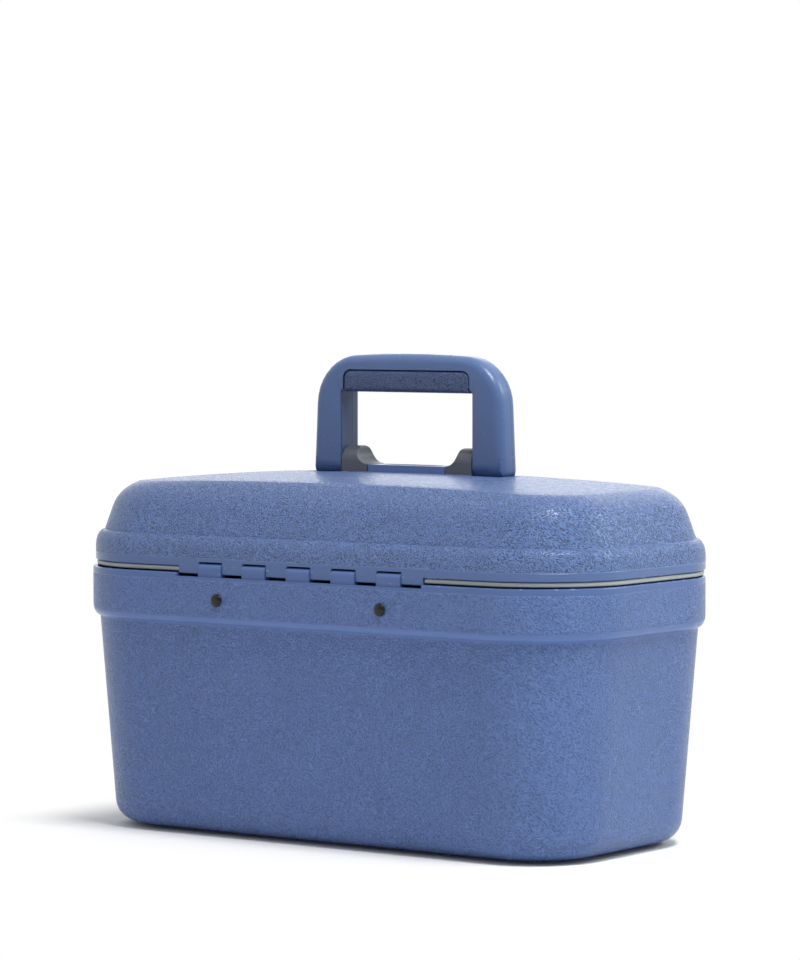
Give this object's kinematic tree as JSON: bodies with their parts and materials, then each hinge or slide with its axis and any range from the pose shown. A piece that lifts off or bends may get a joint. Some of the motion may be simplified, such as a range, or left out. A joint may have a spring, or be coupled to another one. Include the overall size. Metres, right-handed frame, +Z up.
{
  "type": "beauty case",
  "caption": "Hard-shell beauty case with a domed hinged lid, folding handle, lift-out tray, lid mirror and dial lock.",
  "frame": {"origin": "on the underside of the base's plinth, at its middle, where the case stands on the table", "axes": "+X along the case's length, +Y towards the hinge at the back, +Z up"},
  "size_m": [0.36, 0.1919, 0.2761],
  "materials": {
    "shell_blue": "blue moulded plastic with a fine leather grain",
    "handle_blue": "smooth satin blue plastic",
    "grip_blue": "dark blue soft grip with a coarse grain",
    "block_grey": "satin dark grey plastic",
    "seal_grey": "light grey rubber",
    "pin_steel": "bright zinc plated",
    "rivet_black": "black lacquer",
    "strap_black": "woven elastic",
    "lock_metal": "satin grey metal paint",
    "dial_black": "black with white numbers",
    "tray_grey": "light grey moulded plastic",
    "mirror_glass": "silvered glass",
    "frame_grey": "satin grey plastic",
    "backing_black": "matt black sheet"
  },
  "bodies": {
    "base": {"base_shell": "shell_blue", "hinge_pin": "pin_steel", "elastic_strap": "strap_black", "rivet_left": "rivet_black", "rivet_right": "rivet_black", "rivet_washers": "pin_steel", "lock_body": "lock_metal", "lock_backplate": "lock_metal", "lock_screws": "pin_steel", "dial_axle": "pin_steel"},
    "left_dial": {"dial_left": "dial_black"},
    "middle_dial": {"dial_middle": "dial_black"},
    "right_dial": {"dial_right": "dial_black"},
    "slider": {"release_slider": "dial_black"},
    "tray": {"organiser_tray": "tray_grey"},
    "lid": {"lid_shell": "shell_blue", "rim_seal": "seal_grey", "pivot_block_left": "block_grey", "pivot_block_right": "block_grey", "pivot_pins": "pin_steel", "mount_plate": "handle_blue", "backing_plate": "pin_steel", "block_screws": "pin_steel", "plate_screws": "pin_steel", "lid_mirror": "mirror_glass", "mirror_frame": "frame_grey", "mirror_backing": "backing_black", "mirror_screws": "pin_steel", "hasp_bracket": "lock_metal", "hasp_pin": "pin_steel"},
    "hasp": {"hasp": "lock_metal"},
    "handle": {"handle_bow": "handle_blue", "grip_insert": "grip_blue"}
  },
  "joints": [
    {"name": "lid_hinge", "type": "hinge", "parent": "base", "child": "lid", "pos_m": [0.0012, 0.0867, 0.1544], "axis": [-1, 0, 0], "range_deg": [0, 92]},
    {"name": "handle_fold", "type": "hinge", "parent": "lid", "child": "handle", "pos_m": [0, -0.0202, 0.21384], "axis": [-1, 0, 0], "range_deg": [0, 70]},
    {"name": "hasp_hinge", "type": "hinge", "parent": "lid", "child": "hasp", "pos_m": [0, -0.0959, 0.1625], "axis": [-1, 0, 0], "range_deg": [0, 110]},
    {"name": "tray_lift", "type": "slide", "parent": "base", "child": "tray", "axis": [0, 0, 1], "range_m": [0, 0.02]},
    {"name": "release_slide", "type": "slide", "parent": "base", "child": "slider", "axis": [1, 0, 0], "range_m": [0, 0.0035], "stiffness_N_per_m": 100},
    {"name": "left_dial_spin", "type": "hinge", "parent": "base", "child": "left_dial", "pos_m": [-0.006, -0.0943, 0.135], "axis": [1, 0, 0], "continuous": true},
    {"name": "middle_dial_spin", "type": "hinge", "parent": "base", "child": "middle_dial", "pos_m": [0, -0.0943, 0.135], "axis": [1, 0, 0], "continuous": true},
    {"name": "right_dial_spin", "type": "hinge", "parent": "base", "child": "right_dial", "pos_m": [0.006, -0.0943, 0.135], "axis": [1, 0, 0], "continuous": true}
  ]
}
